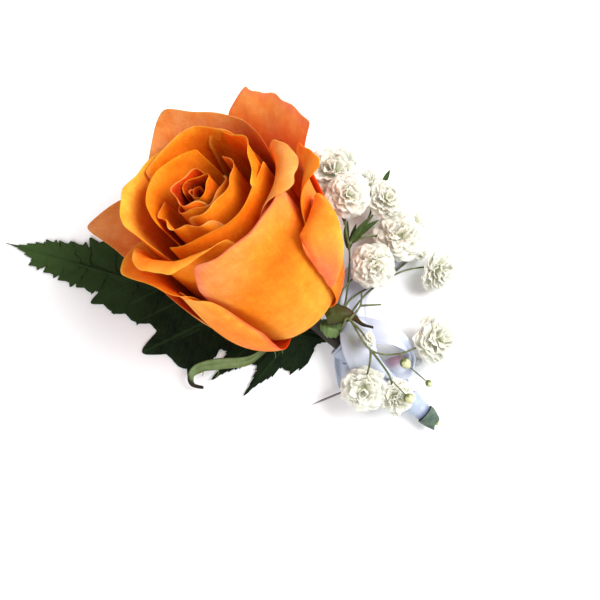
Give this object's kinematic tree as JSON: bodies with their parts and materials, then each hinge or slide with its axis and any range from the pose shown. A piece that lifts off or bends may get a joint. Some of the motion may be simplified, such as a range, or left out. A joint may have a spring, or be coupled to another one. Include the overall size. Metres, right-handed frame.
{
  "type": "flower lapel pin",
  "caption": "Rose boutonniere for a lapel: an open bloom on a ribbon-wrapped stem, backed by a fern frond, with sprays of filler flowers, held by a straight pin with a pearl head.",
  "frame": {"origin": "on the flat back of the main frond, under the bloom, in the plane that the pin lies on", "axes": "+Z away from the surface that the pin lies on, +X along the length from the frond's tip to the stem's cut end, +Y across it, towards the bloom's far side"},
  "size_m": [0.1428, 0.1014, 0.0766],
  "materials": {
    "petal": "satin",
    "leaf": "waxy",
    "sepal": "matt",
    "dry_sepal": "matt",
    "stem": "waxy",
    "tape": "matt",
    "ribbon": "satin",
    "steel": "polished",
    "pearl": "glossy",
    "twig": "matt",
    "filler": "matt"
  },
  "bodies": {
    "root": {"main_frond": "leaf", "lower_frond": "leaf", "hip": "stem", "heart": "petal", "petal_1": "petal", "petal_2": "petal", "petal_3": "petal", "petal_4": "petal", "petal_5": "petal", "petal_6": "petal", "petal_7": "petal", "petal_8": "petal", "petal_9": "petal", "petal_10": "petal", "petal_11": "petal", "petal_12": "petal", "petal_13": "petal", "petal_14": "petal", "petal_15": "petal", "petal_16": "petal", "petal_17": "petal", "petal_18": "petal", "petal_19": "petal", "petal_20": "petal", "petal_21": "petal", "petal_22": "petal", "petal_23": "petal", "long_sepal": "sepal", "brown_sepal": "dry_sepal", "round_sepal": "sepal", "side_sepal": "sepal", "far_sepal": "sepal", "stem": "stem", "floral_tape": "tape", "stem_wrap": "ribbon", "knot": "ribbon", "front_loop": "ribbon", "right_loop": "ribbon", "back_loop": "ribbon", "pin_shaft": "steel", "pearl": "pearl", "upper_sprig": "twig", "middle_sprig": "twig", "lower_sprig": "twig", "filler_flower_1": "filler", "filler_flower_2": "filler", "filler_flower_3": "filler", "filler_flower_4": "filler", "filler_flower_5": "filler", "filler_flower_6": "filler", "filler_flower_7": "filler", "filler_flower_8": "filler", "filler_flower_9": "filler", "filler_flower_10": "filler", "filler_flower_11": "filler", "filler_flower_12": "filler", "filler_flower_13": "filler"}
  },
  "joints": []
}
